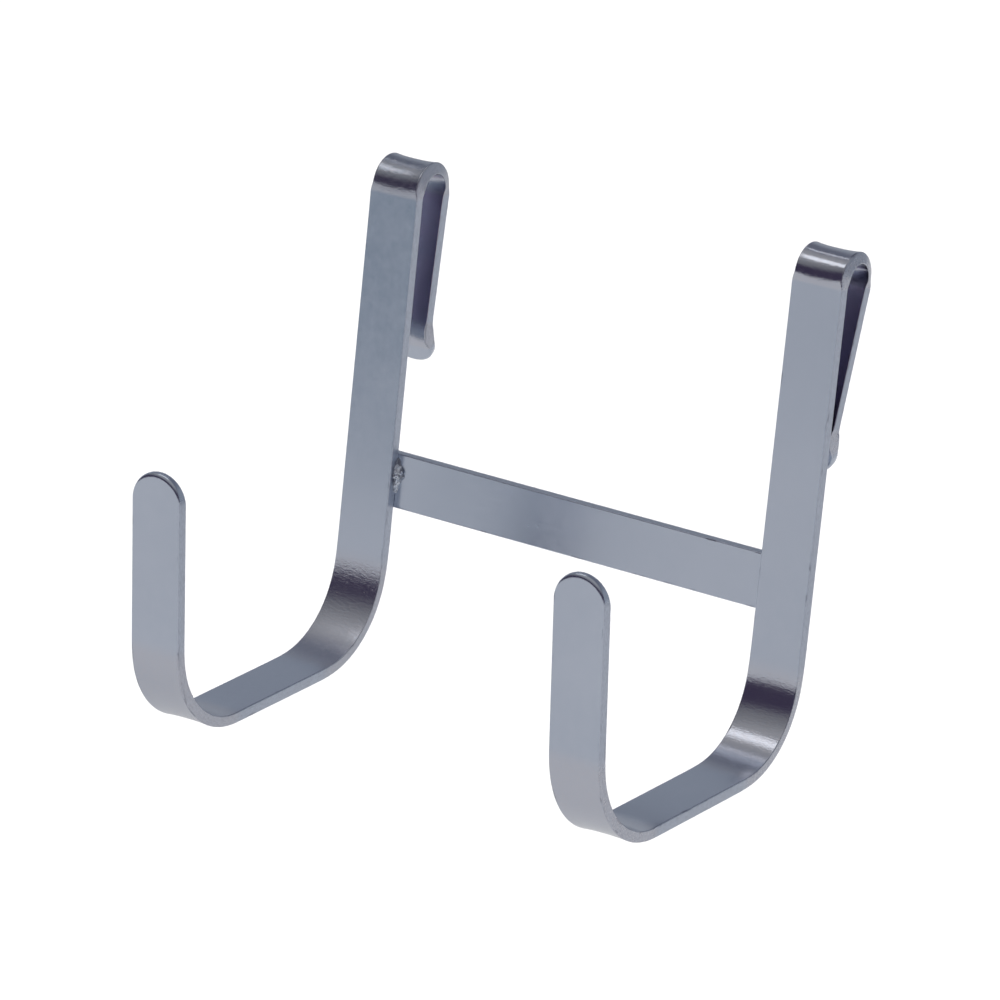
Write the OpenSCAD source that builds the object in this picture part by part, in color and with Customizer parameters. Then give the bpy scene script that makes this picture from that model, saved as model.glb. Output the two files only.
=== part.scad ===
// Double headphone hook that clips over the top edge of a thin panel.
// Two J-hooks bent from flat bar carry a spring clip each at the top, and a
// flat crossbar, welded across the backs of the two stems, ties them together.
// X runs along the crossbar, Y to the back of the panel, Z up the stems. The
// origin is on the panel's top edge, midway between the two clips.

/* [Flat bar] */
// Width of the flat bar that all pieces are cut from
bar_w = 16; // [12:0.5:25]
// Thickness of the flat bar
bar_t = 3.2; // [2:0.1:5]

/* [Hooks] */
// Distance between the centre lines of the two hooks
hook_spacing = 139.4; // [100:0.1:220]
// Length of the left stem between the clip's crown and the rear bend
left_stem_len = 109.1; // [95:0.1:160]
// Length of the right stem between the clip's crown and the rear bend
right_stem_len = 111.8; // [95:0.1:160]
// Centre-line radius of the left bend between stem and bottom bar
left_rear_bend_r = 27.3; // [15:0.1:35]
// Centre-line radius of the right bend between stem and bottom bar
right_rear_bend_r = 25.5; // [15:0.1:35]
// Straight length of the left bottom bar
left_bottom_len = 44.4; // [25:0.1:70]
// Straight length of the right bottom bar
right_bottom_len = 47.3; // [25:0.1:70]
// Centre-line radius of the left bend between bottom bar and front arm
left_front_bend_r = 27.2; // [15:0.1:35]
// Centre-line radius of the right bend between bottom bar and front arm
right_front_bend_r = 29.3; // [15:0.1:35]
// Degrees that the left bottom bar rises towards the stem
left_bottom_rise = 6.1; // [0:0.1:12]
// Degrees that the right bottom bar rises towards the stem
right_bottom_rise = 5.0; // [0:0.1:12]
// Degrees that the front arms lean away from the stems
arm_lean = 7.4; // [0:0.1:15]
// Length of the left front arm above its bend, to the top of the round tip
left_arm_len = 52.2; // [30:0.1:90]
// Length of the right front arm above its bend, to the top of the round tip
right_arm_len = 52.6; // [30:0.1:90]

/* [Clips] */
// Clear width of the slot under the left clip's crown
left_slot_w = 10.3; // [8:0.1:14]
// Clear width of the slot under the right clip's crown
right_slot_w = 9.8; // [9:0.1:14]
// Degrees that the left clip's leg closes towards its stem
left_leg_close = 3.3; // [0:0.1:6]
// Degrees that the right clip's leg closes towards its stem
right_leg_close = 12.3; // [0:0.1:13]
// Straight length of the left clip's leg
left_leg_len = 39.5; // [25:0.5:50]
// Straight length of the right clip's leg
right_leg_len = 42; // [25:0.5:43]
// Centre-line radius of the kink above the flared lip
lip_kink_r = 7; // [3:0.5:8]
// Degrees that the left lip flares away from its leg
left_lip_flare = 44; // [15:1:50]
// Degrees that the right lip flares away from its leg
right_lip_flare = 38; // [15:1:50]
// Length of the lip beyond the kink, to the end of its rounded tip
lip_len = 8.7; // [8.2:0.1:16]

/* [Crossbar] */
// Length of each stem's width that the crossbar laps behind
lap_len = 10; // [6:0.5:12]
// Height of the crossbar's lower edge above the rear bends, at the left stem
crossbar_lift = 17.4; // [8:0.1:60]
// Degrees that the crossbar is out of level, falling to the right
crossbar_fall = 0.65; // [0:0.05:2]

/* [Welds] */
// Leg length of the fillet welds
weld_leg = 2.8; // [2:0.1:3]
// Leg length of the thin fillet weld in front of the crossbar's right end
right_front_weld_leg = 1.8; // [1:0.1:3]
// Length of the fillet welds along the stem
weld_len = 10.5; // [6:0.5:14]
// Height of the front welds' middles above the middle of the crossbar
weld_raise = 1.5; // [-2:0.1:2]
// Number of ripples along a fillet weld
weld_ripples = 6; // [3:1:8]

/* [Hidden] */
RUN = 0;
BEND = 1;
// longest chord that a bend is split into, in degrees of its arc
chord_deg = 4;

half_w = bar_w / 2;
half_t = bar_t / 2;
// the bar's ends are all but half round, and meet its edges at a slight corner
tip_r = 1.01 * half_w;
stem_back_y = -left_slot_w / 2;
stem_y = stem_back_y - half_t;
left_foot_z = -left_slot_w / 2 - left_stem_len;
right_crown_foot_z = left_foot_z + right_stem_len;
stem_gap = hook_spacing - bar_w;
crossbar_len = stem_gap + 2 * lap_len;
crossbar_mid_z = left_foot_z + crossbar_lift + half_w - stem_gap / 2 * sin(crossbar_fall);
left_weld_z = crossbar_mid_z + stem_gap / 2 * sin(crossbar_fall) - weld_len / 2 + weld_raise;
right_weld_z = crossbar_mid_z - stem_gap / 2 * sin(crossbar_fall) - weld_len / 2 + weld_raise;

// ---- flat bar laid along a route -------------------------------------------
// A route lies in the YZ plane and starts at the foot of the clip's crown. Its
// steps are [RUN, length] and [BEND, centre-line radius, degrees to the left].

// the route's stations as [y, z, heading], with a bend split into short chords
function walk(steps, y, z, heading, i = 0) =
    i == len(steps) ? [[y, z, heading]] :
    steps[i][0] == RUN ?
        concat([[y, z, heading]],
               walk(steps, y + steps[i][1] * cos(heading), z + steps[i][1] * sin(heading),
                    heading, i + 1)) :
    let (r = steps[i][1],
         turn = steps[i][2],
         side = sign(turn),
         cy = y - side * r * sin(heading),
         cz = z + side * r * cos(heading),
         chords = ceil(abs(turn) / chord_deg),
         stations = [for (j = [0:chords])
             let (h = heading + turn * j / chords)
                 [cy + side * r * sin(h), cz - side * r * cos(h), h]])
        concat([for (j = [0:chords - 1]) stations[j]],
               walk(steps, stations[chords][0], stations[chords][1], heading + turn, i + 1));

// the stations moved sideways, to the left for a positive distance
function beside(stations, distance) =
    [for (s = stations) [s[0] - distance * sin(s[2]), s[1] + distance * cos(s[2])]];

function reversed(list) = [for (i = [len(list) - 1:-1:0]) list[i]];

// cuts the end of a bar at a station to a full round, seen square to its face
module round_end(station) {
    translate([0, station[0], station[1]])
        rotate([station[2], 0, 0])
            difference() {
                translate([-bar_w, -tip_r, -bar_t])
                    cube([2 * bar_w, 2 * tip_r, 2 * bar_t]);
                translate([0, -tip_r, -2 * bar_t])
                    cylinder(r = tip_r, h = 4 * bar_t, $fn = 96);
            }
}

// ---- one hook --------------------------------------------------------------
// Stem, rear bend, bottom bar, front bend and arm go down and forward from the
// foot of the crown; crown, leg, kink and lip go over the panel and down.

function hook_steps(stem_len, rear_r, rise, bottom_len, front_r, arm_len) = [
    [RUN, stem_len],
    [BEND, rear_r, -(90 - rise)],
    [RUN, bottom_len],
    [BEND, front_r, -(90 + rise - arm_lean)],
    [RUN, arm_len]
];

function clip_steps(slot_w, close, leg_len, flare) = [
    [BEND, (slot_w + bar_t) / 2, -(180 + close)],
    [RUN, leg_len],
    [BEND, lip_kink_r, flare],
    [RUN, lip_len]
];

module hook(crown_foot_z, down_steps, over_steps) {
    down = walk(down_steps, stem_y, crown_foot_z, -90);
    over = walk(over_steps, stem_y, crown_foot_z, 90);
    outline = concat(reversed(beside(down, half_t)), beside(over, -half_t),
                     reversed(beside(over, half_t)), beside(down, -half_t));
    difference() {
        translate([-half_w, 0, 0])
            rotate([90, 0, 90])
                linear_extrude(bar_w)
                    polygon(outline);
        round_end(down[len(down) - 1]);
        round_end(over[len(over) - 1]);
    }
}

module left_hook() {
    color("lightsteelblue")
        translate([-hook_spacing / 2, 0, 0])
            hook(-left_slot_w / 2,
                 hook_steps(left_stem_len, left_rear_bend_r, left_bottom_rise,
                            left_bottom_len, left_front_bend_r, left_arm_len),
                 clip_steps(left_slot_w, left_leg_close, left_leg_len, left_lip_flare));
}

module right_hook() {
    color("lightsteelblue")
        translate([hook_spacing / 2, 0, 0])
            hook(right_crown_foot_z,
                 hook_steps(right_stem_len, right_rear_bend_r, right_bottom_rise,
                            right_bottom_len, right_front_bend_r, right_arm_len),
                 clip_steps(right_slot_w, right_leg_close, right_leg_len, right_lip_flare));
}

// ---- crossbar and welds ----------------------------------------------------

// places its children on the crossbar's middle, with X along the bar
module on_crossbar() {
    translate([0, stem_back_y, crossbar_mid_z])
        rotate([0, crossbar_fall, 0])
            children();
}

module crossbar() {
    color("silver")
        on_crossbar()
            translate([-crossbar_len / 2, 0, -half_w])
                cube([crossbar_len, bar_t, bar_w]);
}

// a rippled quarter-round bead up along Z from the origin, in the corner between
// the planes X = 0 and Y = 0, on their +X and -Y sides
module fillet_bead(leg) {
    pitch = (weld_len - 2 * leg) / (weld_ripples - 1);
    intersection() {
        union() {
            for (i = [0:weld_ripples - 1])
                translate([0, 0, leg + i * pitch])
                    sphere(leg, $fn = 32);
            translate([0, 0, leg])
                cylinder(h = weld_len - 2 * leg, r = 0.94 * leg, $fn = 32);
        }
        translate([0, -2 * leg, 0])
            cube([2 * leg, 2 * leg, weld_len]);
    }
}

module left_front_weld() {
    color("gray")
        translate([-stem_gap / 2, stem_back_y, left_weld_z])
            fillet_bead(weld_leg);
}

module right_front_weld() {
    color("gray")
        translate([stem_gap / 2, stem_back_y, right_weld_z])
            mirror([1, 0, 0])
                fillet_bead(right_front_weld_leg);
}

module left_rear_weld() {
    color("gray")
        on_crossbar()
            translate([-crossbar_len / 2, 0, -weld_len / 2])
                rotate([0, 0, 180])
                    fillet_bead(weld_leg);
}

module right_rear_weld() {
    color("gray")
        on_crossbar()
            translate([crossbar_len / 2, 0, -weld_len / 2])
                mirror([0, 1, 0])
                    fillet_bead(weld_leg);
}

left_hook();
right_hook();
crossbar();
left_front_weld();
left_rear_weld();
right_front_weld();
right_rear_weld();
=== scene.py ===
"""Looks of a double headphone hook: two J-hooks bent from flat bar, each with a sprung clip
over a panel's edge, a crossbar behind their stems and a fillet weld in each corner.

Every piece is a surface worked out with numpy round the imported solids, in metres and in their
frame: X along the crossbar, Y to the back, Z up, the origin on the panel's top edge.
"""

import logging
import math
from dataclasses import dataclass, field, replace
from enum import Enum

import bpy
import numpy as np
from mathutils import Matrix, Vector


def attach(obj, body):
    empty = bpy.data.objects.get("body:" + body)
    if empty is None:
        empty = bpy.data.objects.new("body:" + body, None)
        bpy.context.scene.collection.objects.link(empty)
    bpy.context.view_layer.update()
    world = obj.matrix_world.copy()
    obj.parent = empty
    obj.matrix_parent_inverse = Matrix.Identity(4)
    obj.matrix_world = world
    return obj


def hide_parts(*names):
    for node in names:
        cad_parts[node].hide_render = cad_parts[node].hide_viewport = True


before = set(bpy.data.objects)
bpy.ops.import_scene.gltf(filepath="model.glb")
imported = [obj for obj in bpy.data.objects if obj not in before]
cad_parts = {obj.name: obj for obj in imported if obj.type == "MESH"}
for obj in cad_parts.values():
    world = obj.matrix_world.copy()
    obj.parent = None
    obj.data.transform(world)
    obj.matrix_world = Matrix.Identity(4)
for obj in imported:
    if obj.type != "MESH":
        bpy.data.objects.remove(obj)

LOG = logging.getLogger("headphone_hook")
MM = 0.001
# Metres added to the distance along each bar, so that its clouds and streaks are its own.
APART = {"left": 0.0, "right": 1.0, "crossbar": 2.0}
# How far over the crown the stems' stains reach.
PAST_CROWN = 6.0 * MM
# Distances through a hook's bar between which the skin inside the clip sets in.
INNER_SKIN = (-1.0 * MM, -1.4 * MM)
Colour = tuple[float, float, float]
PURPLE: Colour = (0.56, 0.47, 0.62)
BLUISH: Colour = (0.42, 0.475, 0.56)
STEEL_BLUE: Colour = (0.27, 0.335, 0.43)


# ---- shader maths ----


class Signal:
    """A number that varies over a surface: a shader socket with Python's arithmetic."""

    def __init__(self, tree: "Tree", socket: bpy.types.NodeSocket) -> None:
        """Wraps one output socket of a tree."""
        self.tree = tree
        self.socket = socket

    def math(self, operation: str, *others: "Signal | float") -> "Signal":
        """Adds one Math node.

        Args:
            operation: the Math node's operation.
            others: the values after this one.

        Returns:
            The node's result.
        """
        values = dict(enumerate([self, *others]))
        return self.tree.value("ShaderNodeMath", {"operation": operation}, values)

    def __add__(self, other: "Signal | float") -> "Signal":
        """Sum."""
        return self.math("ADD", other)

    def __sub__(self, other: "Signal | float") -> "Signal":
        """Difference."""
        return self.math("SUBTRACT", other)

    def __rsub__(self, other: float) -> "Signal":
        """Difference, with the number first."""
        return self.tree.value("ShaderNodeMath", {"operation": "SUBTRACT"}, {0: other, 1: self})

    def __mul__(self, other: "Signal | float") -> "Signal":
        """Product."""
        return self.math("MULTIPLY", other)

    __radd__, __rmul__ = __add__, __mul__

    def __abs__(self) -> "Signal":
        """Size without sign."""
        return self.math("ABSOLUTE")

    def rises(self, low: float, high: float) -> "Signal":
        """Smoothly 0 at low and 1 at high, and the other way round where low is above high."""
        ends = {"Value": self, "From Min": min(low, high), "From Max": max(low, high)}
        rise = self.tree.value("ShaderNodeMapRange", {"interpolation_type": "SMOOTHSTEP"}, ends)
        return rise if low < high else 1 - rise


class Tree:
    """The nodes of one material or world."""

    # Numbers of the Mix node's sockets when it mixes colours.
    MIX_FACTOR, MIX_LOW, MIX_HIGH, MIX_RESULT = 0, 6, 7, 2

    def __init__(self, owner: "bpy.types.Material | bpy.types.World") -> None:
        """Empties the owner's node tree and holds it."""
        owner.use_nodes = True
        self.nodes = owner.node_tree.nodes
        self.links = owner.node_tree.links
        self.nodes.clear()

    def add(self, kind: str, settings: dict | None = None, inputs: dict | None = None) -> bpy.types.Node:
        """Adds a node.

        Args:
            kind: the node's type.
            settings: its properties, set before its inputs.
            inputs: values, signals or sockets by input name or number.

        Returns:
            The node.
        """
        node = self.nodes.new(kind)
        for name, value in (settings or {}).items():
            setattr(node, name, value)
        for name, value in (inputs or {}).items():
            if isinstance(value, Signal):
                value = value.socket
            if isinstance(value, bpy.types.NodeSocket):
                self.links.new(value, node.inputs[name])
            else:
                node.inputs[name].default_value = value
        return node

    def value(
        self, kind: str, settings: dict | None = None, inputs: dict | None = None, out: int | str = 0
    ) -> Signal:
        """Adds a node and returns one of its outputs as a signal."""
        return Signal(self, self.add(kind, settings, inputs).outputs[out])

    def layer(self, layer: "Layer") -> Signal:
        """A number that the mesh carries."""
        return self.value("ShaderNodeAttribute", {"attribute_name": layer.value}, out="Fac")

    def colour_mix(self, factor: Signal, low: object, high: object) -> bpy.types.NodeSocket:
        """A colour between two colours, low where factor is 0."""
        inputs = {
            self.MIX_FACTOR: factor,
            self.MIX_LOW: self._as_colour(low),
            self.MIX_HIGH: self._as_colour(high),
        }
        node = self.add("ShaderNodeMix", {"data_type": "RGBA", "clamp_factor": True}, inputs)
        return node.outputs[self.MIX_RESULT]

    @staticmethod
    def _as_colour(value: object) -> object:
        """A tuple of three numbers with an alpha added, or the value itself."""
        return (*value, 1.0) if isinstance(value, tuple) and len(value) == 3 else value

    def metal(self, colour: bpy.types.NodeSocket, rough: Signal, height: Signal) -> None:
        """Ends a material as bare metal.

        Args:
            colour: its base colour.
            rough: its roughness.
            height: its bumps in metres.
        """
        bump = self.add("ShaderNodeBump", {}, {"Strength": 1.0, "Distance": 1.0, "Height": height})
        inputs = {"Base Color": colour, "Metallic": 1.0, "Roughness": rough, "Normal": bump.outputs[0]}
        self.surface("ShaderNodeBsdfPrincipled", inputs)

    def surface(self, kind: str, inputs: dict, output: str = "ShaderNodeOutputMaterial") -> None:
        """Adds the shader and the output that it goes to."""
        shader = self.add(kind, {}, inputs)
        self.add(output, {}, {"Surface": shader.outputs[0]})


@dataclass(frozen=True)
class Pattern:
    """A noise that is laid over a surface.

    Attributes:
        scale: features a metre.
        detail: octaves of finer noise.
        rough: how strong each octave is beside the one before.
        stretch: factors on the three parts of the place; a low one draws the noise out.
    """

    scale: float
    detail: float
    rough: float
    stretch: Colour = (1.0, 1.0, 1.0)

    def on(self, tree: Tree, place: bpy.types.NodeSocket) -> Signal:
        """The noise over a place, between about 0.25 and 0.75."""
        moved = tree.add("ShaderNodeVectorMath", {"operation": "MULTIPLY"}, {0: place, 1: self.stretch})
        inputs = {
            "Vector": moved.outputs[0],
            "Scale": self.scale,
            "Detail": self.detail,
            "Roughness": self.rough,
        }
        return tree.value("ShaderNodeTexNoise", {"noise_dimensions": "3D"}, inputs)


# ---- finishes ----


class Layer(Enum):
    """Names of the numbers and vectors that a piece's mesh carries for its finish."""

    PLACE = "bar_place"
    BEND = "bar_bend"
    EDGE = "bar_edge"


@dataclass(frozen=True)
class Stain:
    """A soft cloud on a bar, where the plating came out in another colour.

    Attributes:
        start: where it begins, along the bar.
        end: where it ends.
        fade_in: distance over which it grows before its start.
        fade_out: distance over which it dies away beyond its end.
        depth: how strong it is, from 0 to 1.
        colour: its colour.
        inside: whether it is only on the face inside the clip.
    """

    start: float
    end: float
    fade_in: float
    fade_out: float
    depth: float
    colour: Colour = STEEL_BLUE
    inside: bool = False

    def on(self, along: Signal, through: Signal) -> Signal:
        """How strong it is at a place on the bar."""
        strength = along.rises(self.start - self.fade_in, self.start) * self.depth
        strength = strength * along.rises(self.end + self.fade_out, self.end)
        if self.inside:
            strength = strength * through.rises(*INNER_SKIN)
        return strength


@dataclass(frozen=True)
class PlatedSteel:
    """Zinc-plated flat bar: a satin blue-grey skin, brighter and flecked where it was bent.

    Attributes:
        name: the material's name.
        light: colour of the plating's lighter clouds.
        dark: colour of its darker clouds.
        bend_tint: colour that the plating leans to where the bar was bent.
        burnt: colour of the nicks along the sheared edges.
        sheared: how much darker the sheared edges are than the faces, from 0 to 1.
        rough: roughness on the flat.
        bend_rough: roughness in the bends.
        grain: height of the fine grain in metres.
        flecks: height of the stretched flecks in the bends in metres.
        scar: depth of the nicks and of the marks on the sheared edges in metres.
        half_width: half of the bar's width.
        stains: its stains.
    """

    CLOUDS = Pattern(28.0, 3.0, 0.55)
    BLOTCHES = Pattern(420.0, 2.0, 0.6)
    STREAKS = Pattern(1500.0, 3.0, 0.6, (0.06, 1.0, 1.0))
    SHEAR = Pattern(2600.0, 3.0, 0.7, (0.35, 0.35, 1.0))
    GRAIN = Pattern(5200.0, 2.0, 0.7)
    FLECKS = Pattern(1300.0, 4.0, 0.7, (1.0, 0.45, 1.0))
    BURRS = Pattern(700.0, 2.0, 0.6, (0.2, 1.0, 1.0))

    name: str
    light: Colour = (0.545, 0.590, 0.680)
    dark: Colour = (0.505, 0.552, 0.642)
    bend_tint: Colour = (0.580, 0.575, 0.620)
    burnt: Colour = (0.10, 0.10, 0.15)
    sheared: float = 0.10
    rough: float = 0.23
    bend_rough: float = 0.15
    grain: float = 0.0000016
    flecks: float = 0.000024
    scar: float = 0.00003
    half_width: float = 8.0 * MM
    stains: tuple[Stain, ...] = ()

    def material(self) -> bpy.types.Material:
        """Builds the material.

        Returns:
            A metal whose colour, roughness and bump follow the bar round its bends.
        """
        made = bpy.data.materials.new(self.name)
        tree = Tree(made)
        place = tree.add("ShaderNodeAttribute", {"attribute_name": Layer.PLACE.value}).outputs["Vector"]
        bend, edge = tree.layer(Layer.BEND), tree.layer(Layer.EDGE)
        parts = tree.add("ShaderNodeSeparateXYZ", {}, {0: place})
        along, across, through = (Signal(tree, parts.outputs[i]) for i in range(3))
        bent = bend.rises(0.15, 0.85)
        side = abs(across).rises(self.half_width * 0.972, self.half_width * 0.992)

        patterns = (self.CLOUDS, self.BLOTCHES, self.STREAKS, self.SHEAR, self.GRAIN, self.FLECKS, self.BURRS)
        noises = (pattern.on(tree, place) for pattern in patterns)
        clouds, blotches, streaks, shear, grain, flecks, burrs = noises

        shade = clouds.rises(0.32, 0.68) * 0.6 + blotches.rises(0.3, 0.7) * 0.4
        colour = tree.colour_mix(shade, self.dark, self.light)
        for stain in self.stains:
            cloudy = 0.8 + (clouds - 0.5) * 1.2 + (blotches - 0.5) * 0.5
            on_face = stain.on(along, through) * cloudy * (1 - side)
            colour = tree.colour_mix(on_face, colour, stain.colour)
        colour = tree.colour_mix(bent * (0.55 + (flecks - 0.5) * 1.2), colour, self.bend_tint)
        rub = side * (self.sheared + (shear - 0.5) * 0.8)
        colour = tree.colour_mix(rub.math("MAXIMUM", 0.0), colour, self.burnt)
        nicks = edge * burrs.rises(0.60, 0.68)
        colour = tree.colour_mix(nicks * 0.4, colour, self.burnt)

        rough = self.rough + (blotches - 0.5) * 0.08 + (clouds - 0.5) * 0.10 + (streaks - 0.5) * 0.08
        bend_rough = self.bend_rough + (flecks - 0.5) * 0.25
        rough = rough * (1 - bent) + bend_rough * bent + side * 0.12

        height = (grain - 0.5) * self.grain + (streaks - 0.5) * (self.grain * 1.2)
        height = height + (flecks - 0.5) * bent * self.flecks - nicks * self.scar
        height = height + (shear - 0.5) * side * self.scar
        tree.metal(colour, rough, height)
        return made


@dataclass(frozen=True)
class WeldMetal:
    """Weld bead under the same plating: gritty, with painted shade in its hollows and along its rim and a
    painted glint on its crests.

    Attributes:
        name: the material's name.
        painted_glint: colour of the painted glint on the crests.
        painted_shade: colour of the painted shade in the hollows and along the rim, where the bead meets the
            faces.
        grit: height of the grit in metres.
    """

    LUMPS = Pattern(800.0, 4.0, 0.6)
    CELLS_A_METRE = 1300.0

    name: str
    painted_glint: Colour = (0.72, 0.77, 0.84)
    painted_shade: Colour = (0.26, 0.28, 0.34)
    grit: float = 0.00010

    def material(self) -> bpy.types.Material:
        """Builds the material.

        Returns:
            A gritty metal on Object coordinates.
        """
        made = bpy.data.materials.new(self.name)
        tree = Tree(made)
        place = tree.add("ShaderNodeTexCoord").outputs["Object"]
        lumps = self.LUMPS.on(tree, place)
        cells = {"Vector": place, "Scale": self.CELLS_A_METRE}
        cells = tree.value("ShaderNodeTexVoronoi", {"feature": "F1"}, cells)
        # Painted light: the bright colour is a painted glint on the lumps' crests. The dark colour is painted
        # shade in their hollows and along the rim where the bead meets the faces.
        shade = lumps.rises(0.36, 0.56) * (1 - tree.layer(Layer.EDGE) * 0.6)
        colour = tree.colour_mix(shade, self.painted_shade, self.painted_glint)
        rough = 0.20 + (1 - shade) * 0.30
        height = (lumps - 0.5) * self.grit + cells * (self.grit * 0.5)
        tree.metal(colour, rough, height)
        return made


# ---- meshes ----


@dataclass
class Patch:
    """A grid of points with what its finish needs to know at each of them.

    Attributes:
        points: positions, rows by columns by 3.
        place: distance along the bar, across it and through it, rows by columns by 3.
        bend: how sharply the bar is bent, from 0 to 1, rows by columns.
        edge: how close to a long edge, from 0 to 1, rows by columns.
        wraps: whether the last column joins the first.
        flipped: whether its faces are listed the other way round.
    """

    points: np.ndarray
    place: np.ndarray
    bend: np.ndarray
    edge: np.ndarray
    wraps: bool = False
    flipped: bool = False

    def quads(self) -> np.ndarray:
        """Corner numbers of the grid's faces, one row each."""
        rows, columns = self.points.shape[:2]
        number = np.arange(rows * columns).reshape(rows, columns)
        if self.wraps:
            number = np.concatenate([number, number[:, :1]], axis=1)
        corners = (number[:-1, :-1], number[:-1, 1:], number[1:, 1:], number[1:, :-1])
        quads = np.stack([c.ravel() for c in corners], axis=1)
        return quads[:, ::-1] if self.flipped else quads


class Skin:
    """A closed surface made of patches that meet point for point."""

    WELD = 1e-7

    def __init__(self, patches: list[Patch]) -> None:
        """Welds the patches: points that round to the same ten-thousandth of a millimetre are one."""
        points = np.concatenate([p.points.reshape(-1, 3) for p in patches])
        keys = np.round(points / self.WELD).astype(np.int64)
        _, first, number = np.unique(keys, axis=0, return_index=True, return_inverse=True)
        starts = np.cumsum([0] + [p.points[..., 0].size for p in patches[:-1]])
        quads = np.concatenate([p.quads() + start for p, start in zip(patches, starts)])
        self.points = points[first]
        self.place = np.concatenate([p.place.reshape(-1, 3) for p in patches])[first]
        self.bend, self.edge = (
            np.concatenate([getattr(p, name).ravel() for p in patches])[first] for name in ("bend", "edge")
        )
        self.faces = self._without_doubles(number.reshape(-1)[quads])

    @staticmethod
    def _without_doubles(quads: np.ndarray) -> list[list[int]]:
        """Faces with a corner that came twice made triangles, and those with no area left out."""
        same = quads == np.roll(quads, -1, axis=1)
        whole = quads[~same.any(axis=1)]
        once = same.sum(axis=1) == 1
        pinched, where = quads[once], same[once]
        triangles = pinched[~where].reshape(-1, 3)
        return whole.tolist() + triangles.tolist()

    def piece(self, name: str, material: bpy.types.Material) -> bpy.types.Object:
        """Makes the object.

        Args:
            name: the piece's name.
            material: its finish.

        Returns:
            A smooth mesh object at the origin, with its faces outwards.
        """
        mesh = bpy.data.meshes.new(name)
        mesh.from_pydata(self.points.tolist(), [], self.faces)
        mesh.update()
        self._face_outwards(mesh)
        mesh.shade_smooth()
        layers = (
            (Layer.PLACE, "FLOAT_VECTOR", "vector", self.place),
            (Layer.BEND, "FLOAT", "value", self.bend),
            (Layer.EDGE, "FLOAT", "value", self.edge),
        )
        for layer, kind, slot, values in layers:
            attribute = mesh.attributes.new(layer.value, kind, "POINT")
            attribute.data.foreach_set(slot, values.astype(np.float32).ravel())
        mesh.materials.append(material)
        LOG.info("%s: %d points, %d faces", name, len(mesh.vertices), len(mesh.polygons))
        return placed(name, mesh)

    @staticmethod
    def _face_outwards(mesh: bpy.types.Mesh) -> None:
        """Turns the faces round if the enclosed volume comes out negative."""
        mesh.calc_loop_triangles()
        corners = np.zeros(len(mesh.loop_triangles) * 3, np.int32)
        mesh.loop_triangles.foreach_get("vertices", corners)
        at = np.zeros(len(mesh.vertices) * 3)
        mesh.vertices.foreach_get("co", at)
        a, b, c = at.reshape(-1, 3)[corners.reshape(-1, 3)].transpose(1, 0, 2)
        if np.einsum("ij,ij->i", a, np.cross(b, c)).sum() < 0:
            mesh.flip_normals()


# ---- flat bar ----


@dataclass(frozen=True)
class Stretch:
    """One stretch of a bar's centre line: straight, or an arc to the left for a positive turn.

    Attributes:
        length: its length in metres.
        turn: its whole turn in radians.
        fade: distance over which the bend sets in and dies away.
        lifts: how much of the bar's greatest saddle it gets, from 0 to 1.

    The tangents at the ends of a turn near half a circle all but never meet, so beside a turn
    of more than WIDEST radians the straights keep their length.
    """

    WIDEST = 2.0

    length: float
    turn: float = 0.0
    fade: float = 0.0006
    lifts: float = 1.0

    @classmethod
    def bend(cls, radius: float, degrees: float, fade: float, lifts: float = 1.0) -> "Stretch":
        """An arc of a radius and an angle."""
        turn = math.radians(degrees)
        return cls(radius * abs(turn), turn, fade, lifts)

    def given_up(self) -> float:
        """Length that each straight beside the bend gives up, to keep both where they were.

        A logistic fade f has the variance (pi * f)^2 / 3. Fading a curvature k moves the next
        straight out by half of k times that, and the tangent of half the turn brings it back.
        """
        if not self.turn or abs(self.turn) > self.WIDEST:
            return 0.0
        bend = abs(self.turn) / self.length
        return bend * (math.pi * self.fade) ** 2 / 6 * math.tan(abs(self.turn) / 2)


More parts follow.
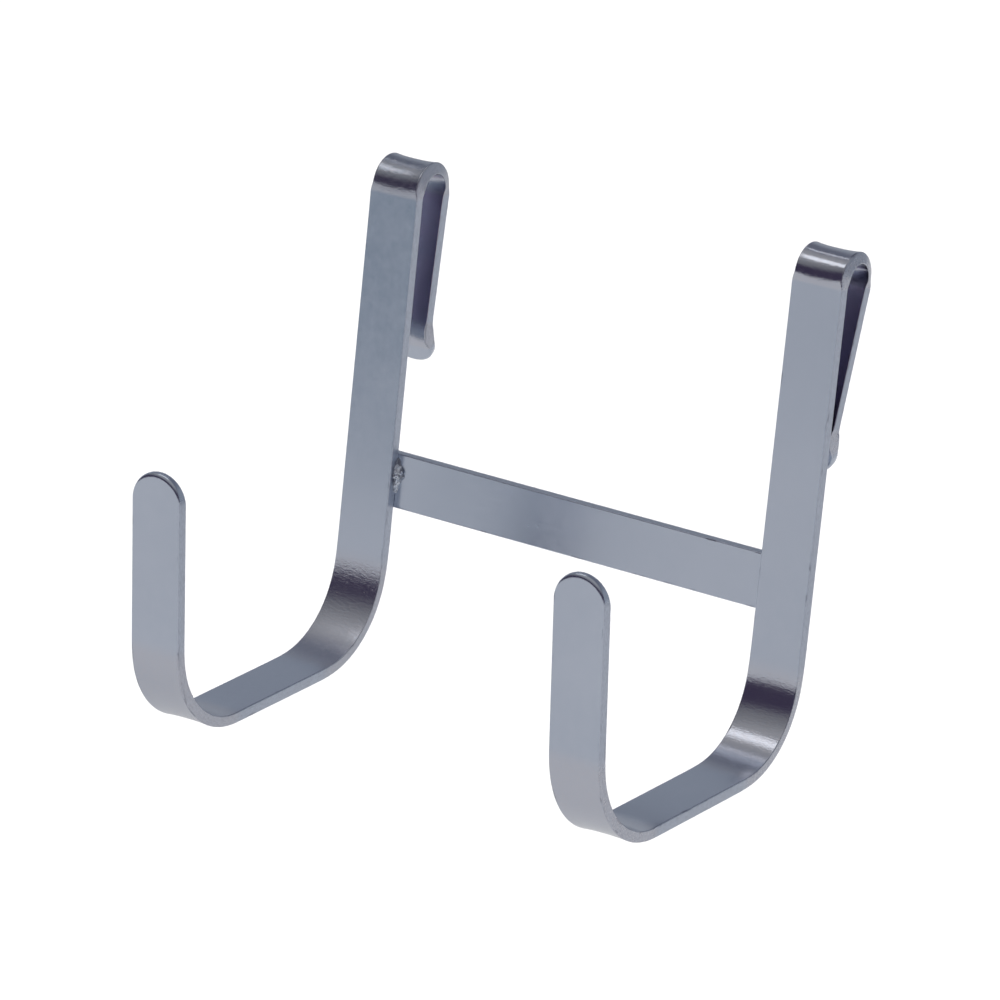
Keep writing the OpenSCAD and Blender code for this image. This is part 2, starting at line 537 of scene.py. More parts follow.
class Route:
    """A bar's centre line in the YZ plane, as one table with a column for each distance.

    The heading is the running sum of the curvature, and the place the running sum of the
    heading's direction. Each bend's curvature fades in and out by a logistic step at its
    ends. The bow fades more widely: it runs from -1 to 1, as 1 - e^(-curvature / SADDLE_BEND),
    and shapes the bar's lifted edges.
    """

    STEP = 0.00005
    BOW_FADE = 0.0015
    SADDLE_BEND = 1 / 0.045

    def __init__(self, table: np.ndarray) -> None:
        """Holds a table whose rows are distance, Y, Z, heading, curvature and bow."""
        self.table = table
        self.s, self.y, self.z, self.heading, self.curvature, self.bow = table
        self.length = float(self.s[-1])

    @classmethod
    def walked(cls, start: tuple[float, float], heading: float, stretches: list[Stretch]) -> "Route":
        """Walks the stretches from a start in the YZ plane.

        Args:
            start: Y and Z of the start.
            heading: the first heading, in degrees from +Y towards +Z.
            stretches: the stretches in order.

        Returns:
            The route.
        """
        stretches = cls._shortened(stretches)
        length = sum(stretch.length for stretch in stretches)
        s = np.linspace(0.0, length, int(length / cls.STEP) + 1)
        curvature, bow = np.zeros_like(s), np.zeros_like(s)
        at = 0.0
        for stretch in stretches:
            if stretch.turn:
                bend = stretch.turn / stretch.length
                curvature += bend * cls._window(s, at, at + stretch.length, stretch.fade)
                fade = max(stretch.fade, cls.BOW_FADE)
                full = math.copysign(1 - math.exp(-abs(bend) / cls.SADDLE_BEND), bend)
                bow += full * stretch.lifts * cls._window(s, at, at + stretch.length, fade)
            at += stretch.length
        angle = math.radians(heading) + cls.running(curvature, s)
        y = start[0] + cls.running(np.cos(angle), s)
        z = start[1] + cls.running(np.sin(angle), s)
        return cls(np.stack([s, y, z, angle, curvature, bow]))

    @staticmethod
    def _shortened(stretches: list[Stretch]) -> list[Stretch]:
        """The stretches, with each straight shorter by what it gives up to its neighbours."""
        given = [0.0] + [stretch.given_up() for stretch in stretches] + [0.0]
        shortened = []
        for stretch, before, after in zip(stretches, given, given[2:]):
            if not stretch.turn:
                stretch = replace(stretch, length=stretch.length - before - after)
            shortened.append(stretch)
        return shortened

    @staticmethod
    def _window(s: np.ndarray, low: float, high: float, fade: float) -> np.ndarray:
        """1 between low and high and 0 outside: the difference of two logistic steps."""
        return 0.5 * (np.tanh(0.5 * (s - low) / fade) - np.tanh(0.5 * (s - high) / fade))

    @staticmethod
    def running(values: np.ndarray, s: np.ndarray) -> np.ndarray:
        """Running integral by the trapezium rule."""
        return np.concatenate([[0.0], np.cumsum(0.5 * (values[1:] + values[:-1]) * np.diff(s))])

    def reversed(self) -> "Route":
        """The same line walked the other way."""
        table = self.table[:, ::-1].copy()
        table[0] = self.length - table[0]
        table[3] += math.pi
        table[4:] *= -1
        return Route(table)

    def joined(self, after: "Route") -> "Route":
        """This line and then another that starts where it ends."""
        table = after.table[:, 1:].copy()
        table[0] += self.length
        turns = round((self.heading[-1] - after.heading[0]) / (2 * math.pi))
        table[3] += turns * 2 * math.pi
        return Route(np.concatenate([self.table, table], axis=1))

    def at(self, s: np.ndarray) -> tuple[np.ndarray, ...]:
        """Y, Z, heading, curvature and bow at distances along the line."""
        return tuple(np.interp(s, self.s, row) for row in self.table[1:])


@dataclass
class FlatBar:
    """Flat bar laid along a route, with rounded long edges.

    A bent bar is also drawn in on the outside of its bends and swells on the inside, and its
    edges lift away from the bend's centre, so the outside of a bend is a shallow saddle.

    Attributes:
        width: the bar's width.
        thick: its thickness.
        edge_r: rounding of its long edges.
        tip_edge_r: rounding of the edge round a round end, at its middle.
        saddle: greatest lift of the edges in a bend.
        poisson: how much the outside of a bend is drawn in for its stretch.
        corner_steps: steps round a rounded corner of the cross-section.
        face_steps: steps from the middle of a face to its corner.
        end_steps: steps round a round end.
    """

    SADDLE_POWER = 2.6
    # Radius at which a bend's plating counts as fully bent.
    FULL_BEND_R = 30.0 * MM
    EDGE_FADE = 0.35 * MM

    width: float = 16.0 * MM
    thick: float = 3.2 * MM
    edge_r: float = 0.32 * MM
    tip_edge_r: float = 1.45 * MM
    saddle: float = 0.42 * MM
    poisson: float = 0.33
    corner_steps: int = 6
    face_steps: int = 12
    end_steps: int = 48

    @property
    def end_r(self) -> float:
        """Rounding of a sawn end's rim."""
        return self.edge_r * 0.9

    def half_profile(self, reach: float, edge_r: np.ndarray) -> tuple[np.ndarray, np.ndarray]:
        """The bar's cross-section from the middle of one face round one edge to the other face.

        Straight to the corner, a quarter circle, straight down the side, a quarter circle,
        and straight back.

        Args:
            reach: distance from the middle to the side.
            edge_r: corner radius for each row wanted.

        Returns:
            Distances from the middle and through the bar, rows by columns.
        """
        e = np.asarray(edge_r, float)[:, None]
        half = self.thick / 2
        out = np.sin(np.linspace(0.0, 1.0, self.face_steps + 1)[:-1] * math.pi / 2)[None, :]
        quarter = np.linspace(0.0, math.pi / 2, self.corner_steps + 1)[None, :]
        side = np.linspace(-1.0, 1.0, 5)[None, 1:-1]
        face_u = (reach - e) * out
        corner_u = reach - e + e * np.sin(quarter)
        corner_v = half - e + e * np.cos(quarter)
        side_u = np.broadcast_to(np.full_like(e, reach), (len(e), side.shape[1]))
        side_v = -(half - e) * side
        u = np.concatenate([face_u, corner_u, side_u, corner_u[:, ::-1], face_u[:, ::-1]], axis=1)
        v = np.concatenate(
            [np.full_like(face_u, half), corner_v, side_v, -corner_v[:, ::-1], np.full_like(face_u, -half)],
            axis=1,
        )
        return u, v

    def edge_mask(self, u: np.ndarray, v: np.ndarray, reach: np.ndarray | float) -> np.ndarray:
        """1 on the rounded long edges and fading to 0 over EDGE_FADE beside them."""
        to_side = reach - np.abs(u)
        to_face = self.thick / 2 - np.abs(v)
        near = np.maximum(to_side, to_face)
        return np.clip(1.0 - (near - self.edge_r) / self.EDGE_FADE, 0.0, 1.0)

    def patch(
        self,
        route: Route,
        middle_x: float,
        place: tuple[np.ndarray, np.ndarray, np.ndarray],
        edge: np.ndarray,
        **kind: bool,
    ) -> Patch:
        """Places points of the flat bar on its route.

        A point goes v along the route's left normal and u along X. With k the curvature
        and b the bow, u is stretched by 1 + poisson * k * v, and the point moves away from
        the bend's centre by saddle * b * (|u| / half width)^SADDLE_POWER.

        Args:
            route: the centre line.
            middle_x: X of the bar's middle.
            place: distances s along the route, u across the bar and v through it to the left.
            edge: how close each point is to a long edge.
            kind: what else the patch is told.

        Returns:
            The patch.
        """
        s, u, v = place
        y, z, heading, k, bow = route.at(s)
        share = np.clip(np.abs(u) / (self.width / 2), 0.0, 1.0)
        lift = -self.saddle * bow * share**self.SADDLE_POWER
        across = u * (1 + self.poisson * k * v)
        through = v + lift
        y = y - np.sin(heading) * through
        z = z + np.cos(heading) * through
        points = np.stack([middle_x + across, y, z], axis=-1)
        bend = np.clip(np.abs(k) * self.FULL_BEND_R, 0.0, 1.0)
        return Patch(points, np.stack([s, u, v], axis=-1), bend, edge, **kind)

    @staticmethod
    def ring(u: np.ndarray, v: np.ndarray) -> tuple[np.ndarray, np.ndarray]:
        """Half profiles with their mirror images, as whole rings."""
        return np.hstack([u, -u[:, -2:0:-1]]), np.hstack([v, v[:, -2:0:-1]])

    def run(self, route: Route, middle_x: float, stations: np.ndarray) -> Patch:
        """The bar's skin between its two ends, as stations along by points round."""
        ring = self.ring(*self.half_profile(self.width / 2, np.array([self.edge_r])))
        s, u, v = np.broadcast_arrays(stations[:, None], *ring)
        return self.patch(route, middle_x, (s, u, v), self.edge_mask(u, v, self.width / 2), wraps=True)

    def round_end(self, route: Route, middle_x: float, centre_s: float, outward: int) -> Patch:
        """A full-round end: the half profile turned half round about the end's centre.

        The edge rounding grows from the bar's own at the sides to tip_edge_r at the very end,
        as the sine of the angle from the side to the power 0.8.

        Args:
            route: the centre line.
            middle_x: X of the bar's middle.
            centre_s: where along the route the round is centred.
            outward: 1 if the end lies further along the route, and -1 if before.

        Returns:
            The patch, whose first and last rows meet the bar's own skin.
        """
        angle = np.linspace(0.0, math.pi, self.end_steps + 1)
        grown = self.edge_r + (self.tip_edge_r - self.edge_r) * np.sin(angle) ** 0.8
        rho, v = self.half_profile(self.width / 2, grown)
        s = centre_s + outward * rho * np.sin(angle)[:, None]
        u = rho * np.cos(angle)[:, None]
        u[[0, -1]] = rho[[0, -1]] * np.array([[1.0], [-1.0]])
        edge = self.edge_mask(rho, v, self.width / 2) * (1 - np.sin(angle)[:, None] * 0.9)
        return self.patch(route, middle_x, (s, u, v), edge, flipped=outward < 0)

    def square_end(self, route: Route, middle_x: float, at_s: float, outward: int) -> list[Patch]:
        """A sawn end: the cross-section drawn in over a small rounding, then closed across.

        Args:
            route: the centre line.
            middle_x: X of the bar's middle.
            at_s: where along the route the rounding starts.
            outward: 1 if the end lies further along the route, and -1 if before.

        Returns:
            The rounding and the flat end.
        """
        quarter = np.linspace(0.0, math.pi / 2, self.corner_steps + 1)
        drawn = self.end_r * (1 - np.cos(quarter))
        half_u, half_v = self.half_profile(self.width / 2, np.array([self.edge_r]))
        u = half_u - drawn[:, None] * np.clip(half_u / (self.width / 2), 0.0, 1.0)
        v = half_v - drawn[:, None] * np.clip(half_v / (self.thick / 2), -1.0, 1.0)
        s = at_s + outward * self.end_r * np.sin(quarter)
        ring_u, ring_v = self.ring(u, v)
        ring = (np.broadcast_to(s[:, None], ring_u.shape), ring_u, ring_v)
        edge = np.full(ring_u.shape, 0.6)
        rounding = self.patch(route, middle_x, ring, edge, wraps=True, flipped=outward < 0)
        flat_u = np.stack([u[-1], -u[-1]], axis=1)
        flat_v = np.stack([v[-1], v[-1]], axis=1)
        flat = (np.full(flat_u.shape, s[-1]), flat_u, flat_v)
        rim = np.zeros(flat_u.shape)
        return [rounding, self.patch(route, middle_x, flat, rim, flipped=outward > 0)]


# ---- the object's pieces ----


@dataclass
class Hook:
    """One hook: front arm, bottom, stem, and the clip that goes over the panel.

    Attributes:
        side: "left" or "right", as in its node's name.
        middle_x: X of its middle.
        foot: Y and Z of the stem's centre line at the foot of the clip's crown.
        slot_w: clear width of its clip's slot.
        stem_len: length of the stem.
        rear_bend_r: centre-line radius of the bend between stem and bottom bar.
        rise: degrees that the bottom bar rises to the stem.
        bottom_len: straight length of the bottom bar.
        front_bend_r: centre-line radius of the bend between bottom bar and arm.
        arm_len: length of the arm above its bend.
        leg_close: degrees that the clip's leg closes towards the stem.
        leg_len: straight length of the clip's leg.
        flare: degrees that the lip flares.
        bar: the flat bar that it is bent from.
        arm_lean: degrees that the arm leans away from the stem.
        kink_r: centre-line radius of the kink above the lip.
        lip_len: length of the lip beyond the kink.
        rear_fade: distance over which the rear bend sets in and dies away.
        front_fade: the same for the front bend.
        clip_fade: the same for the clip's crown and kink.
        lead: how far below the crown the centre line is walked from.
    """

    STATION_GAP = 1.2 * MM
    STATIONS_A_RADIAN = 30.0

    side: str
    middle_x: float
    foot: tuple[float, float]
    slot_w: float
    stem_len: float
    rear_bend_r: float
    rise: float
    bottom_len: float
    front_bend_r: float
    arm_len: float
    leg_close: float
    leg_len: float
    flare: float
    bar: FlatBar = field(default_factory=FlatBar)
    arm_lean: float = 7.4
    kink_r: float = 7.0 * MM
    lip_len: float = 8.7 * MM
    rear_fade: float = 2.4 * MM
    front_fade: float = 2.0 * MM
    clip_fade: float = 0.5 * MM
    lead: float = 8.0 * MM

    def route(self) -> Route:
        """The hook's centre line from the arm's tip to the lip's, walked from high on the stem."""
        start = (self.foot[0], self.foot[1] - self.lead)
        crown_r = (self.slot_w + self.bar.thick) / 2
        down = Route.walked(
            start,
            -90.0,
            [
                Stretch(self.stem_len - self.lead),
                Stretch.bend(self.rear_bend_r, -(90 - self.rise), self.rear_fade, 0.5),
                Stretch(self.bottom_len),
                Stretch.bend(self.front_bend_r, -(90 + self.rise - self.arm_lean), self.front_fade),
                Stretch(self.arm_len),
            ],
        )
        over = Route.walked(
            start,
            90.0,
            [
                Stretch(self.lead),
                Stretch.bend(crown_r, -(180 + self.leg_close), self.clip_fade),
                Stretch(self.leg_len),
                Stretch.bend(self.kink_r, self.flare, self.clip_fade, 0.0),
                Stretch(self.lip_len),
            ],
        )
        return down.reversed().joined(over)

    def crown_at(self) -> float:
        """Distance along, as its finish counts it, at which the clip's crown starts."""
        rear = self.rear_bend_r * math.radians(90 - self.rise)
        front = self.front_bend_r * math.radians(90 + self.rise - self.arm_lean)
        return self.arm_len + front + self.bottom_len + rear + self.stem_len + APART[self.side]

    def stations(self, route: Route, first: float, last: float) -> np.ndarray:
        """Distances along the route, closer together where the bar bends more.

        There is one for every STATION_GAP and STATIONS_A_RADIAN more for every radian of
        turn, summed up along the route and cut into equal shares.
        """
        density = 1 / self.STATION_GAP + self.STATIONS_A_RADIAN * np.abs(route.curvature)
        total = route.running(density, route.s)
        low, high = np.interp([first, last], route.s, total)
        count = int(high - low) + 2
        return np.interp(np.linspace(low, high, count), total, route.s)

    def build(self, material: bpy.types.Material) -> bpy.types.Object:
        """Makes the hook and lets it stand for its CAD node.

        Args:
            material: its finish.

        Returns:
            The piece.
        """
        route = self.route()
        half = self.bar.width / 2
        first, last = half, route.length - half
        patches = [
            self.bar.run(route, self.middle_x, self.stations(route, first, last)),
            self.bar.round_end(route, self.middle_x, first, -1),
            self.bar.round_end(route, self.middle_x, last, 1),
        ]
        for patch in patches:
            patch.place[..., 0] += APART[self.side]
        piece = Skin(patches).piece(f"{self.side}_hook_bar", material)
        return dressed(piece, f"{self.side}_hook")


@dataclass
class Crossbar:
    """The flat bar that lies across the backs of the stems.

    Attributes:
        front_y: Y of its front face.
        length: its length.
        middle_z: height of its middle.
        fall: degrees that it falls to the right.
        bar: the flat bar that it is cut from.
    """

    STATIONS = 160

    front_y: float
    length: float
    middle_z: float
    fall: float
    bar: FlatBar = field(default_factory=FlatBar)

    def directions(self) -> tuple[np.ndarray, np.ndarray]:
        """The directions along it to the right and up it."""
        tilt = math.radians(self.fall)
        along = np.array([math.cos(tilt), 0.0, -math.sin(tilt)])
        return along, np.array([math.sin(tilt), 0.0, math.cos(tilt)])

    def build(self, material: bpy.types.Material) -> bpy.types.Object:
        """Makes the crossbar and lets it stand for its CAD node.

        The bar is made along Y and then laid along X, falling to the right.

        Args:
            material: its finish.

        Returns:
            The piece.
        """
        route = Route.walked((-self.length / 2, 0.0), 0.0, [Stretch(self.length)])
        margin = self.bar.end_r
        stations = np.linspace(margin, self.length - margin, self.STATIONS)
        patches = [self.bar.run(route, 0.0, stations)]
        patches += self.bar.square_end(route, 0.0, margin, -1)
        patches += self.bar.square_end(route, 0.0, self.length - margin, 1)
        along, up = self.directions()
        back = np.array([0.0, 1.0, 0.0])
        middle = np.array([0.0, self.front_y + self.bar.thick / 2, self.middle_z])
        for patch in patches:
            across, far, through = np.moveaxis(patch.points, -1, 0)
            laid = far[..., None] * along + across[..., None] * up + through[..., None] * back
            patch.points = middle + laid
            patch.place[..., 0] += APART["crossbar"]
        piece = Skin(patches).piece("crossbar_bar", material)
        return dressed(piece, "crossbar")


@dataclass
class Bead:
    """A fillet weld in a corner: uneven ripples, thick in the middle and thin at its ends.

    Attributes:
        node: the CAD node that it stands for.
        corner: the corner line's lower end.
        along: direction of the corner line.
        first: direction of one leg, away from the corner.
        second: direction of the other leg.
        leg: length of the legs.
        length: length along the corner.
        seed: which of the many uneven beads it is.
        slim: the bead's radius away from its swelling, as a share of the leg.
        swell_at: where it swells, as a share of its length.
        swell: by how much, as a share of the leg.
        bury: how far it reaches into the two faces.
    """

    ROWS, COLUMNS = 121, 41
    # Half the swelling's length, as a share of the bead's.
    SWELLING = 0.18
    RIPPLE_PITCH = 1.5 * MM
    LUMPS = ((3.0, 0.06), (7.0, 0.06), (15.0, 0.05), (31.0, 0.035), (57.0, 0.02))

    node: str
    corner: np.ndarray
    along: np.ndarray
    first: np.ndarray
    second: np.ndarray
    leg: float
    length: float
    seed: int
    slim: float = 0.70
    swell_at: float = 0.5
    swell: float = 0.25
    bury: float = 0.25 * MM

    def radius(self, z: np.ndarray, angle: np.ndarray) -> np.ndarray:
        """Distance of the bead's surface from the corner line.

        The leg's length, times an arch that closes the ends, times a slim bead with a
        flat-topped swelling, with ripples that bow downhill and a sum of sines for the lumps,
        whose waves and heights are LUMPS.
        """
        share = z / self.length
        arch = np.clip(4 * share * (1 - share), 0.0, 1.0) ** 0.35
        width = self.slim + self.swell * np.exp(-(np.abs((share - self.swell_at) / self.SWELLING) ** 3))
        rng = np.random.default_rng(self.seed)
        lumps = np.zeros(np.broadcast(z, angle).shape)
        for wave, height in self.LUMPS:
            p, q, r = rng.uniform(0, 2 * math.pi, 3)
            bowed = wave * share * 2.1 + p + 1.3 * np.sin(wave * 0.4 * angle + q)
            lumps = lumps + height * np.sin(bowed) * np.cos(wave * 0.35 * angle + r)
        ripple = 0.05 * np.abs(np.sin(math.pi * (z / self.RIPPLE_PITCH + 0.5 * np.sin(2 * angle))))
        return self.leg * arch * (width + lumps + ripple)

    def build(self, material: bpy.types.Material) -> bpy.types.Object:
        """Makes the bead and lets it stand for its CAD node.

        Rows run along the corner line. Columns run from one leg over the bead to the other,
        then back inside the corner, a little below both faces so that no gap shows.

        Args:
            material: its finish.

        Returns:
            The piece.
        """
        z = np.linspace(0.0, self.length, self.ROWS)[:, None]
        angle = np.linspace(0.0, math.pi / 2, self.COLUMNS)[None, :]
        radius = self.radius(z, angle)
        a = radius * np.cos(angle)
        b = radius * np.sin(angle)
        sunk = np.full((self.ROWS, 1), -self.bury)
        a = np.concatenate([a[:, :1], a, sunk, sunk], axis=1)
        b = np.concatenate([sunk, b, b[:, -1:], sunk], axis=1)
        a[[0, -1]] = -self.bury
        b[[0, -1]] = -self.bury
        points = (
            self.corner
            + np.broadcast_to(z, a.shape)[..., None] * self.along
            + a[..., None] * self.first
            + b[..., None] * self.second
        )
        # The rim carries painted shade: the weld's material darkens it where the bead meets the faces.
        rim = np.zeros(a.shape)
        rim[:, :4] = 1.0
        rim[:, -5:] = 1.0
        place = np.stack([np.broadcast_to(z, a.shape), a, b], axis=-1)
        patch = Patch(points, place, np.zeros(a.shape), rim, wraps=True)
        piece = Skin([patch]).piece(f"{self.node}_bead", material)
        return dressed(piece, self.node)


def placed(name: str, data: bpy.types.ID) -> bpy.types.Object:
    """Makes an object of a mesh, light or camera and puts it in the scene."""
    made = bpy.data.objects.new(name, data)
    bpy.context.scene.collection.objects.link(made)
    return made


def dressed(piece: bpy.types.Object, node: str) -> bpy.types.Object:
    """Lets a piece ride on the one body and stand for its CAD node."""
    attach(piece, "root")
    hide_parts(node)
    return piece


# ---- studio ----


@dataclass
class Studio:
    """Pale floor, soft light and the camera.

    Attributes:
        floor_z: height of the floor, below the hanging object.
        aim: point that the camera looks at.
        distance: distance of the camera from it.
        azimuth: degrees that the camera stands to the right of straight ahead.
        elevation: degrees that it looks down.
        roll: degrees that it leans.
        lens: its focal length in millimetres on a SENSOR wide.
        sun_power: strength of the even light.
    """

    SENSOR = 36.0
    FLOOR_SIDES = ((-12.0, -10.0), (12.0, -10.0), (12.0, 16.0), (-12.0, 16.0))
    FLOOR_REFLECTED = (0.49, 0.49, 0.49)
    FLOOR_SEEN = (0.88, 0.87, 0.86)
    FRONT = ((0.50, 0.50, 0.53), (0.062, 0.050, 0.088), (0.26, 0.26, 0.272), (0.42, 0.415, 0.42))
    BEHIND = ((0.36, 0.385, 0.43), (0.190, 0.200, 0.245))
    WHITE = (1.0, 1.0, 1.0)

    floor_z: float = -0.42
    aim: Vector = field(default_factory=lambda: Vector((0.00149, -0.05, -0.07285)))
    distance: float = 1.81003
    azimuth: float = 31.767
    elevation: float = 14.644
    roll: float = 5.769
    lens: float = 237.11
    sun_power: float = 3.3

    def camera(self) -> None:
        """Makes the camera from its angles: right, up and back axes, then a roll about back."""
        a, e, r = (math.radians(x) for x in (self.azimuth, self.elevation, self.roll))
        right = Vector((math.cos(a), math.sin(a), 0.0))
        up = Vector((-math.sin(a) * math.sin(e), math.cos(a) * math.sin(e), math.cos(e)))
        back = right.cross(up)
        right, up = math.cos(r) * right + math.sin(r) * up, -math.sin(r) * right + math.cos(r) * up
        data = bpy.data.cameras.new("studio_camera")
        data.sensor_width = self.SENSOR
        data.lens = self.lens
        data.clip_start, data.clip_end = 0.05, 60.0
        camera = placed("studio_camera", data)
        place = self.aim + back * self.distance
        camera.matrix_world = Matrix.Translation(place) @ Matrix((right, up, back)).transposed().to_4x4()
        bpy.context.scene.camera = camera

    def floor(self) -> None:
        """Lays a plain pale floor, which shows darker in the metal than to the camera."""
        mesh = bpy.data.meshes.new("floor")
        corners = [(x, y, self.floor_z) for x, y in self.FLOOR_SIDES]
        mesh.from_pydata(corners, [], [(0, 1, 2, 3)])
        made = bpy.data.materials.new("pale_floor")
        tree = Tree(made)
        seen = tree.value("ShaderNodeLightPath", out="Is Camera Ray")
        colour = tree.colour_mix(seen, self.FLOOR_REFLECTED, self.FLOOR_SEEN)
        tree.surface("ShaderNodeBsdfPrincipled", {"Base Color": colour, "Roughness": 0.9})
        mesh.materials.append(made)
        placed("floor", mesh)

    def sun(self) -> None:
        """Lights the floor evenly from above, without a glint on the metal."""
        data = bpy.data.lights.new("even_light", "SUN")
        data.energy = self.sun_power
        data.angle = math.radians(80.0)
        lamp = placed("even_light", data)
        lamp.rotation_euler = (math.radians(12.0), math.radians(8.0), 0.0)
        lamp.visible_glossy = False

    def card(self, name: str, centre: Colour, size: tuple[float, float], radiance: float) -> None:
        """Hangs a soft white card overhead, that shows only in the metal.

        Args:
            name: its name.
            centre: its centre.
            size: its length in X and in Y.
            radiance: how bright it is beside a white of 1.
        """
        data = bpy.data.lights.new(name, "AREA")
        data.shape = "RECTANGLE"
        data.size, data.size_y = size
        data.energy = 4 * size[0] * size[1] * radiance
        lamp = placed(name, data)
        lamp.location = centre
        lamp.visible_camera = False
        lamp.visible_diffuse = False

    def sky(self) -> None:
        """Fills the room with soft light that differs by direction.

        In front, dark above the horizon, grey higher up and lighter grey overhead. Behind,
        medium grey low down and dim blue overhead. White where the camera looks past the floor.
        """
        world = bpy.data.worlds.new("studio")
        bpy.context.scene.world = world
        tree = Tree(world)
        direction = tree.add("ShaderNodeTexCoord").outputs["Generated"]
        split = tree.add("ShaderNodeSeparateXYZ", {}, {0: direction})
        y, z = (Signal(tree, split.outputs[i]) for i in (1, 2))
        below, dark, grey, overhead = self.FRONT
        front = tree.colour_mix(z.rises(-0.06, 0.02), below, dark)
        front = tree.colour_mix(z.rises(0.36, 0.62), front, grey)
        front = tree.colour_mix(z.rises(0.62, 0.80), front, overhead)
        behind = tree.colour_mix(z.rises(0.35, 0.75), *self.BEHIND)
        room = tree.colour_mix(y.rises(-0.08, 0.30), front, behind)
        seen = tree.value("ShaderNodeLightPath", out="Is Camera Ray")
        room = tree.colour_mix(seen, room, self.WHITE)
        tree.surface("ShaderNodeBackground", {"Color": room, "Strength": 1.0}, "ShaderNodeOutputWorld")

    def build(self) -> None:
        """Sets the whole studio up."""
        self.camera()
        self.floor()
        self.sky()
        self.sun()
        self.card("wide_card", (-0.150, -0.125, 0.285), (0.26, 0.085), 0.75)
        self.card("slim_card", (-0.170, 0.070, 0.285), (0.28, 0.022), 0.72)
        bpy.context.scene.view_settings.view_transform = "Standard"


# ---- the whole object ----


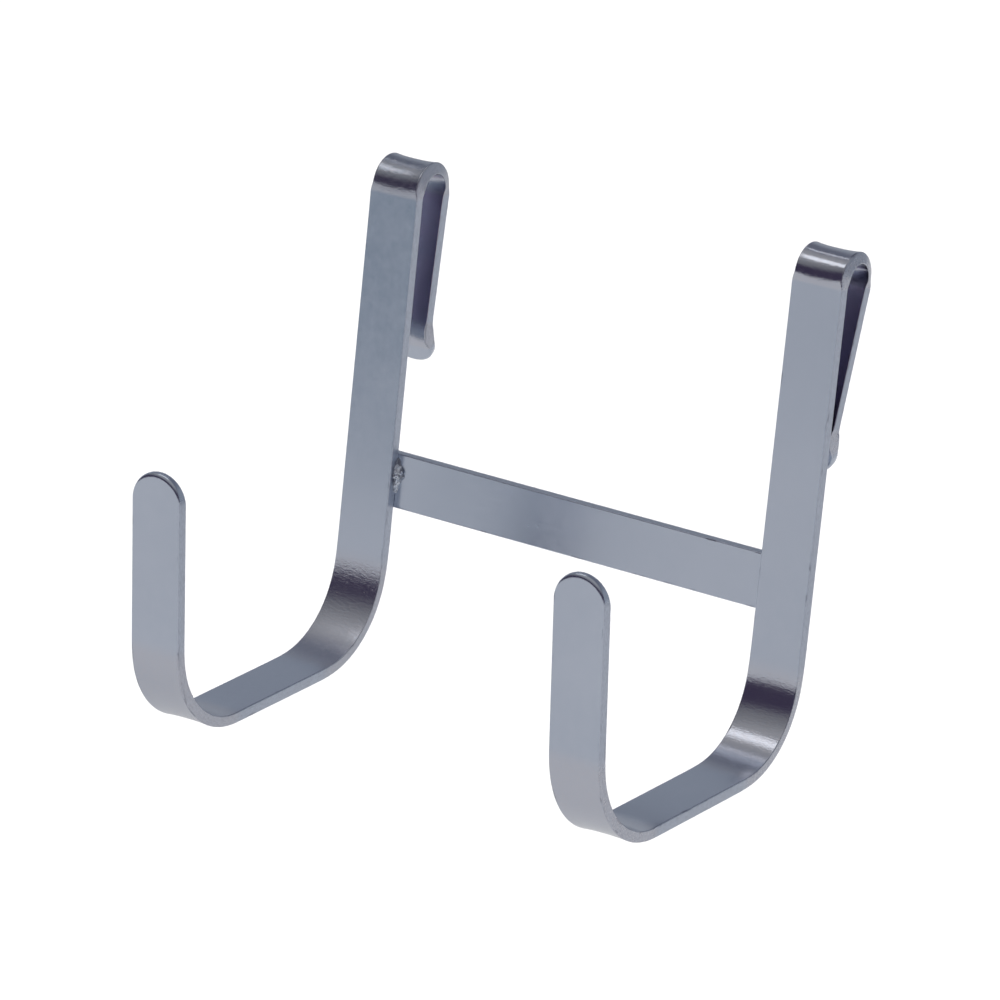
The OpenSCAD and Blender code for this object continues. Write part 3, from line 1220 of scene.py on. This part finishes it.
@dataclass
class HeadphoneHook:
    """The double hook: its sizes, and the pieces built from them.

    Attributes:
        spacing: distance between the hooks' middles.
        left_slot_w: clear width of the left clip's slot.
        left_stem_len: length of the left stem.
        right_stem_len: length of the right stem.
        lap: length of each stem's width that the crossbar laps.
        crossbar_lift: height of the crossbar's lower edge above the left rear bend.
        fall: degrees that the crossbar falls to the right.
        weld_leg: leg length of the welds.
        thin_weld_leg: leg length of the weld in front of the crossbar's right end.
        weld_len: length of the welds.
        weld_raise: height of the front welds' middles above the crossbar's.
        bar: the flat bar that everything is cut from.
    """

    spacing: float = 139.4 * MM
    left_slot_w: float = 10.3 * MM
    left_stem_len: float = 109.1 * MM
    right_stem_len: float = 111.8 * MM
    lap: float = 10.0 * MM
    crossbar_lift: float = 17.4 * MM
    fall: float = 0.65
    weld_leg: float = 2.8 * MM
    thin_weld_leg: float = 1.8 * MM
    weld_len: float = 10.5 * MM
    weld_raise: float = 1.5 * MM
    bar: FlatBar = field(default_factory=FlatBar)

    @property
    def back_y(self) -> float:
        """Y of the backs of the stems, which is one wall of the left clip's slot."""
        return -self.left_slot_w / 2

    @property
    def bend_z(self) -> float:
        """Height at which both stems turn into their rear bends."""
        return -self.left_slot_w / 2 - self.left_stem_len

    def hook(self, side: str, stem_len: float, **sizes: float) -> Hook:
        """One hook, with the back of its stem on the crossbar's front face."""
        return Hook(
            side=side,
            middle_x=(self.spacing if side == "right" else -self.spacing) / 2,
            foot=(self.back_y - self.bar.thick / 2, self.bend_z + stem_len),
            stem_len=stem_len,
            bar=self.bar,
            **sizes,
        )

    def left(self) -> Hook:
        """The left hook, whose clip's leg is almost parallel to its stem."""
        return self.hook(
            "left",
            self.left_stem_len,
            slot_w=self.left_slot_w,
            rear_bend_r=27.3 * MM,
            rise=6.1,
            bottom_len=44.4 * MM,
            front_bend_r=27.2 * MM,
            arm_len=52.2 * MM,
            leg_close=3.3,
            leg_len=39.5 * MM,
            flare=44.0,
        )

    def right(self) -> Hook:
        """The right hook, whose clip's leg closes until it all but touches its stem."""
        return self.hook(
            "right",
            self.right_stem_len,
            slot_w=9.8 * MM,
            rear_bend_r=25.5 * MM,
            rise=5.0,
            bottom_len=47.3 * MM,
            front_bend_r=29.3 * MM,
            arm_len=52.6 * MM,
            leg_close=12.3,
            leg_len=42.0 * MM,
            flare=38.0,
        )

    def crossbar(self) -> Crossbar:
        """The crossbar, whose front face is on the backs of the stems."""
        gap = self.spacing - self.bar.width
        drop = gap / 2 * math.sin(math.radians(self.fall))
        return Crossbar(
            front_y=self.back_y,
            length=gap + 2 * self.lap,
            middle_z=self.bend_z + self.crossbar_lift + self.bar.width / 2 - drop,
            fall=self.fall,
            bar=self.bar,
        )

    def beads(self) -> list[Bead]:
        """The four welds: in front where the stems meet the crossbar, and behind at its ends."""
        bar = self.crossbar()
        tilt = math.radians(self.fall)
        up = np.array([0.0, 0.0, 1.0])
        back = np.array([0.0, 1.0, 0.0])
        along_bar, up_bar = bar.directions()
        inner = (self.spacing - self.bar.width) / 2
        middle = np.array([0.0, bar.front_y, bar.middle_z])
        beads = []
        fat = ("left", -1, self.weld_leg, 0.42, 0.40)
        thin = ("right", 1, self.thin_weld_leg, 0.25, 0.10)
        for side, sign, leg, slim, swell in (fat, thin):
            level = bar.middle_z - sign * inner * math.sin(tilt) + self.weld_raise - self.weld_len / 2
            front = Bead(
                node=f"{side}_front_weld",
                corner=np.array([sign * inner, bar.front_y, level]),
                along=up,
                first=np.array([-float(sign), 0.0, 0.0]),
                second=-back,
                leg=leg,
                length=self.weld_len,
                seed=14 + sign,
                slim=slim,
                swell_at=0.58,
                swell=swell,
            )
            rear = Bead(
                node=f"{side}_rear_weld",
                corner=middle + sign * bar.length / 2 * along_bar - self.weld_len / 2 * up_bar,
                along=up_bar,
                first=sign * along_bar,
                second=back,
                leg=self.weld_leg,
                length=self.weld_len,
                seed=22 + sign,
            )
            beads += [front, rear]
        return beads

    @staticmethod
    def left_steel(hook: Hook) -> PlatedSteel:
        """The left hook's finish: blue in the front bend and up the stem, purple in the clip."""
        crown, arm = hook.crown_at(), hook.arm_len
        stains = (
            Stain(arm + 12.0 * MM, arm + 32.0 * MM, 14.0 * MM, 10.0 * MM, 0.75, BLUISH),
            Stain(crown - 40.0 * MM, crown + PAST_CROWN, 75.0 * MM, 10.0 * MM, 0.9),
            Stain(crown - 8.0 * MM, crown + PAST_CROWN, 30.0 * MM, 10.0 * MM, 0.3),
            Stain(crown + 22.0 * MM, crown + 59.0 * MM, 4.0 * MM, 4.0 * MM, 1.0, PURPLE, True),
        )
        return PlatedSteel("hook_steel_left", bend_rough=0.22, flecks=0.000065, stains=stains)

    @staticmethod
    def right_steel(hook: Hook) -> PlatedSteel:
        """The right hook's finish: fainter blue up the stem, purple in the clip."""
        crown = hook.crown_at()
        stains = (
            Stain(crown - 15.0 * MM, crown + PAST_CROWN, 50.0 * MM, 10.0 * MM, 0.2),
            Stain(crown + 22.0 * MM, crown + 62.0 * MM, 4.0 * MM, 4.0 * MM, 1.0, PURPLE, True),
        )
        return PlatedSteel("hook_steel_right", bend_rough=0.13, flecks=0.000035, stains=stains)

    @staticmethod
    def crossbar_steel() -> PlatedSteel:
        """The crossbar's finish: a blue cloud left of its middle."""
        start = APART["crossbar"] + 26.0 * MM
        stains = (Stain(start, start + 30.0 * MM, 22.0 * MM, 9.0 * MM, 0.30),)
        return PlatedSteel("crossbar_steel", sheared=0.12, stains=stains)

    def build(self) -> None:
        """Builds and dresses every piece in order."""
        left, right = self.left(), self.right()
        left_steel, right_steel = self.left_steel(left), self.right_steel(right)
        weld_metal = WeldMetal("weld_metal").material()
        for hook, steel in ((left, left_steel), (right, right_steel)):
            LOG.info("%s hook", hook.side)
            hook.build(steel.material())
        self.crossbar().build(self.crossbar_steel().material())
        for bead in self.beads():
            bead.build(weld_metal)


def main() -> None:
    """Builds the object and its studio."""
    logging.basicConfig(level=logging.INFO, format="%(name)s: %(message)s")
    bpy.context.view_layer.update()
    HeadphoneHook().build()
    Studio().build()


if __name__ == "__main__":
    main()
